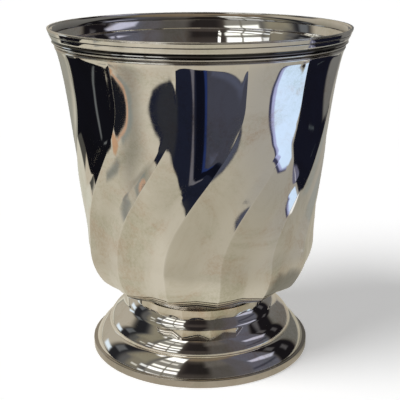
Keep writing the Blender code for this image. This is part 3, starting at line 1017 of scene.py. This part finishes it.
def make_film_group():
    """Clouds of tarnish in two hues over the metal, times the tint at the piece's points, which holds
    painted shade.

    Broad noise says where the film lies, a second noise which hue it has, and fine noise frays
    both. The tint is a little weaker in the clouds' gaps, so that its edges aren't ruled.
    """
    group, start, end = new_group("warm_film", [
        ("Vector", "vector", None), ("Tint", "colour", (1, 1, 1, 1)), ("Metal", "colour", (1, 1, 1, 1)),
        ("Film", "colour", (1, 1, 1, 1)), ("Second Film", "colour", (1, 1, 1, 1)),
        ("Amount", "value", 0.5), ("Scale", "value", 90.0), ("Fray", "value", 0.9),
    ], [("Colour", "colour"), ("Mask", "value")])
    nodes, links = group.nodes, group.links
    vector = start.outputs["Vector"]
    scale = start.outputs["Scale"]
    clouds = noise(nodes, links, vector, scale, detail=9.0, roughness=0.72, distortion=0.7)
    hues = noise(nodes, links, vector, HUE_SCALE, detail=5.0, roughness=0.65, distortion=0.4)
    grain = noise(nodes, links, vector, FRAY_SCALE, detail=4.0, roughness=0.7, distortion=0.2)
    broad = spread(nodes, links, clouds, low=0.38, high=0.66)
    hue = spread(nodes, links, hues, low=0.42, high=0.58)
    fine = spread(nodes, links, grain, low=0.35, high=0.65, to_low=0.35, to_high=1.0)
    amount = multiplied(nodes, links, broad, start.outputs["Amount"])
    frayed = multiplied(nodes, links, amount, fine)
    film = mixed(nodes, links, hue, start.outputs["Film"], start.outputs["Second Film"])
    clouded = mixed(nodes, links, frayed, start.outputs["Metal"], film)
    reach = nodes.new("ShaderNodeMapRange")
    links.new(broad, reach.inputs["Value"])
    links.new(start.outputs["Fray"], reach.inputs["To Min"])
    reach.inputs["To Max"].default_value = 1.0
    colour = mixed(nodes, links, reach.outputs["Result"], clouded, start.outputs["Tint"], "MULTIPLY")
    links.new(colour, end.inputs["Colour"])
    links.new(frayed, end.inputs["Mask"])
    return group


def make_lines_group():
    """Fine lines round the axis: noise squeezed hard along the profile."""
    group, start, end = new_group("polishing_lines", [
        ("Vector", "vector", None), ("Along", "value", 9000.0), ("Around", "value", 5.0),
    ], [("Height", "value")])
    nodes, links = group.nodes, group.links
    stretch = nodes.new("ShaderNodeCombineXYZ")
    links.new(start.outputs["Around"], stretch.inputs["X"])
    links.new(start.outputs["Along"], stretch.inputs["Y"])
    scaled = nodes.new("ShaderNodeVectorMath")
    scaled.operation = "MULTIPLY"
    links.new(start.outputs["Vector"], scaled.inputs[0])
    links.new(stretch.outputs[0], scaled.inputs[1])
    lines = noise(nodes, links, scaled.outputs[0], 1.0, detail=3.0, roughness=0.5, distortion=0.0)
    links.new(lines, end.inputs["Height"])
    return group


FILM = make_film_group()
LINES = make_lines_group()
print("groups:", FILM.name, LINES.name)

# %% [markdown]
# ## The three finishes
# One function makes mirror silver for the sheet, burnished silver for drawn wire, and run solder.
# The film is in the colour and also roughens the shine. Two bumps follow each other: a broad one
# for the hammer's unevenness, which bends reflections, and the fine one of the polishing lines.
# The lines follow the piece's own map, which runs round it and along its profile.

# %% Finishes
WARM = (0.74, 0.60, 0.49)
GREENISH = (0.70, 0.70, 0.60)
SOLDER = (0.86, 0.84, 0.80)
PLANISH_SCALE = 130.0


def silver(name, metal, amount, scale, smooth, worn, wave, line_height, fray):
    """Silver with film in its colour, roughness from the film, and planishing and lines as bump."""
    material = bpy.data.materials.new(name)
    material.use_nodes = True
    nodes, links = material.node_tree.nodes, material.node_tree.links
    shader = nodes["Principled BSDF"]
    shader.inputs["Metallic"].default_value = 1.0
    place = nodes.new("ShaderNodeTexCoord")
    profile = nodes.new("ShaderNodeUVMap")
    profile.uv_map = "profile"
    # the points' tint, which holds the painted shade of the bowl, strip, wire and band
    point_tint = nodes.new("ShaderNodeAttribute")
    point_tint.attribute_name = "tint"
    clouds = nodes.new("ShaderNodeGroup")
    clouds.node_tree = FILM
    for label, value in (
        ("Metal", (*metal, 1.0)), ("Film", (*WARM, 1.0)), ("Second Film", (*GREENISH, 1.0)),
        ("Amount", amount), ("Scale", scale), ("Fray", fray),
    ):
        clouds.inputs[label].default_value = value
    links.new(point_tint.outputs["Color"], clouds.inputs["Tint"])
    links.new(place.outputs["Object"], clouds.inputs["Vector"])
    links.new(clouds.outputs["Colour"], shader.inputs["Base Color"])
    gloss = nodes.new("ShaderNodeMapRange")
    gloss.inputs["To Min"].default_value = smooth
    gloss.inputs["To Max"].default_value = worn
    links.new(clouds.outputs["Mask"], gloss.inputs["Value"])
    links.new(gloss.outputs["Result"], shader.inputs["Roughness"])
    planish = noise(
        nodes, links, place.outputs["Object"], PLANISH_SCALE, detail=1.0, roughness=0.5, distortion=0.0,
    )
    uneven = nodes.new("ShaderNodeBump")
    uneven.inputs["Distance"].default_value = wave
    links.new(planish, uneven.inputs["Height"])
    lines = nodes.new("ShaderNodeGroup")
    lines.node_tree = LINES
    links.new(profile.outputs["UV"], lines.inputs["Vector"])
    polished = nodes.new("ShaderNodeBump")
    polished.inputs["Distance"].default_value = line_height
    links.new(lines.outputs["Height"], polished.inputs["Height"])
    links.new(uneven.outputs["Normal"], polished.inputs["Normal"])
    links.new(polished.outputs["Normal"], shader.inputs["Normal"])
    return material


polished_silver = silver(
    "mirror_silver", SILVER, amount=0.8, scale=62.0, smooth=0.02, worn=0.09,
    wave=0.008 * MM, line_height=0.0004 * MM, fray=0.7,
)
drawn_silver = silver(
    "burnished_wire", SILVER, amount=0.5, scale=120.0, smooth=0.03, worn=0.09,
    wave=0.002 * MM, line_height=0.0003 * MM, fray=0.97,
)
solder = silver(
    "run_solder", SOLDER, amount=0.6, scale=300.0, smooth=0.22, worn=0.35,
    wave=0.02 * MM, line_height=0.002 * MM, fray=1.0,
)
print("finishes:", [m.name for m in (polished_silver, drawn_silver, solder)])

# %% [markdown]
# ## Assembly
# Each piece rides on the one body of the cup, stands for its node in the imported model, and takes
# its finish; each row also lists the record's material slot for that finish.

# %% Assembly
for piece, node, material, slot in (
    (bowl, "bowl", polished_silver, "polished_silver"),
    (strip, "rim_moulding", drawn_silver, "drawn_silver"),
    (wire, "rim_bead", drawn_silver, "drawn_silver"),
    (foot, "foot_shell", polished_silver, "polished_silver"),
    (neck_solder, "neck_solder", solder, "hard_solder"),
    (band, "foot_band", drawn_silver, "drawn_silver"),
    (band_solder, "band_solder", solder, "hard_solder"),
):
    piece.data.materials.append(material)
    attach(piece, "root")
    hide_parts(node)
    print(piece.name, "stands for", node)
